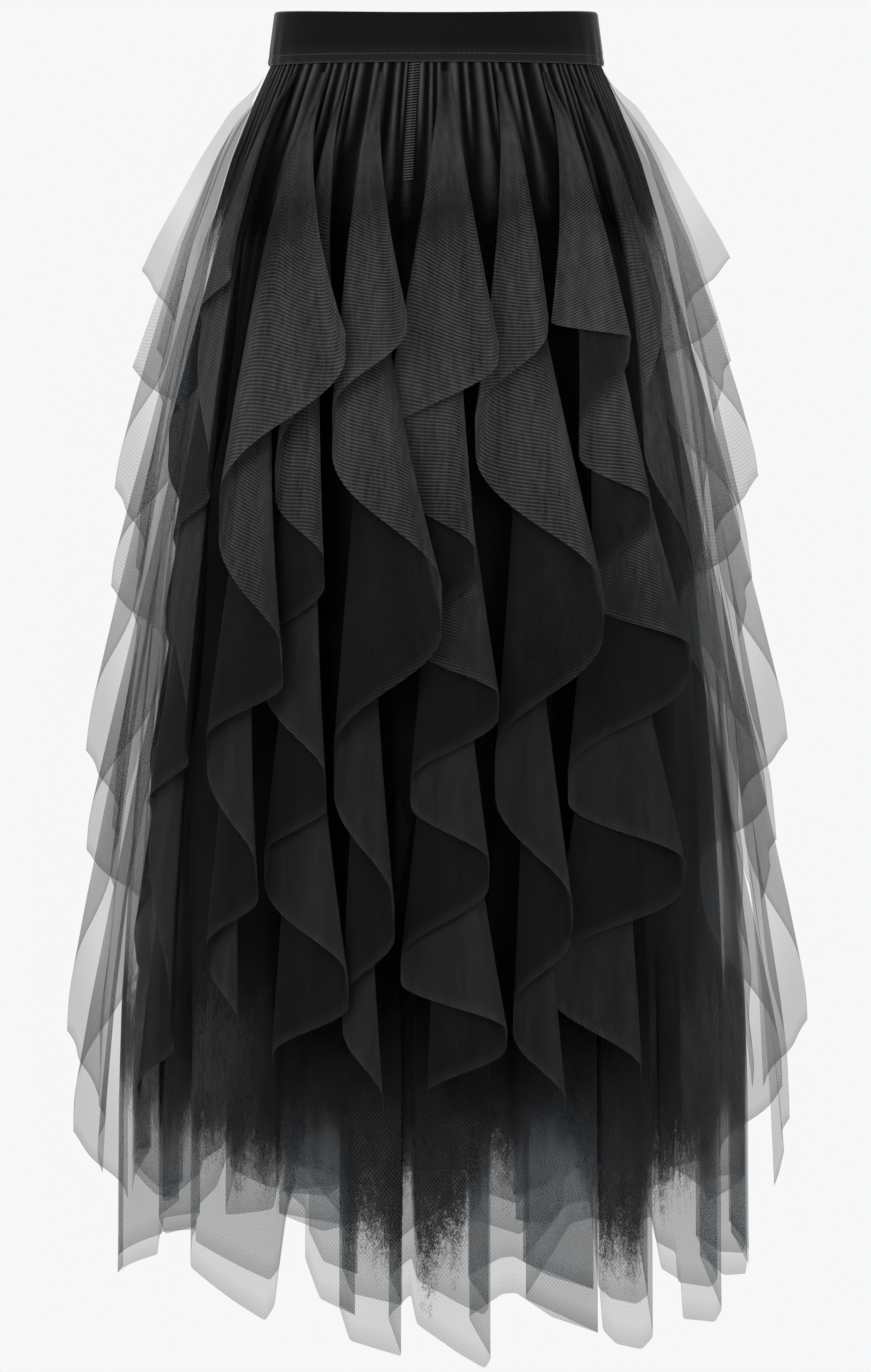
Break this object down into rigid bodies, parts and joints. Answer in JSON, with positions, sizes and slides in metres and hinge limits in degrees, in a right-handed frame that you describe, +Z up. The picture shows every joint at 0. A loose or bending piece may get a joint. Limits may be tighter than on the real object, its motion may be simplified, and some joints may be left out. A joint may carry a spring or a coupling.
{
  "type": "tulle skirt",
  "caption": "Long gathered tulle skirt with an elastic waistband, an opaque lining and cascading flounces, hollow, as it hangs when worn.",
  "frame": {"origin": "centre of the waistband at half its height, where the wearer holds the skirt up", "axes": "+Z up, -Y the front, +X to the right as seen from the front"},
  "size_m": [0.4965, 0.4502, 0.8985],
  "materials": {
    "knit_elastic": "matt rib knit, black",
    "satin_lining": "soft satin, black",
    "tulle": "fine sheer net, black"
  },
  "bodies": {
    "root": {"waistband": "knit_elastic", "lining_left": "satin_lining", "lining_right": "satin_lining", "underskirt_front": "tulle", "underskirt_back": "tulle", "overskirt_front": "tulle", "overskirt_back": "tulle", "flounce_front_1": "tulle", "flounce_front_2": "tulle", "flounce_front_3": "tulle", "flounce_front_4": "tulle", "flounce_front_5": "tulle", "flounce_front_6": "tulle", "flounce_front_7": "tulle", "flounce_right_1": "tulle", "flounce_right_2": "tulle", "flounce_right_3": "tulle", "flounce_back_1": "tulle", "flounce_back_2": "tulle", "flounce_back_3": "tulle", "flounce_back_4": "tulle", "flounce_back_5": "tulle", "flounce_back_6": "tulle", "flounce_back_7": "tulle", "flounce_back_8": "tulle", "flounce_left_1": "tulle", "flounce_left_2": "tulle", "flounce_left_3": "tulle", "flounce_left_4": "tulle"}
  },
  "joints": []
}
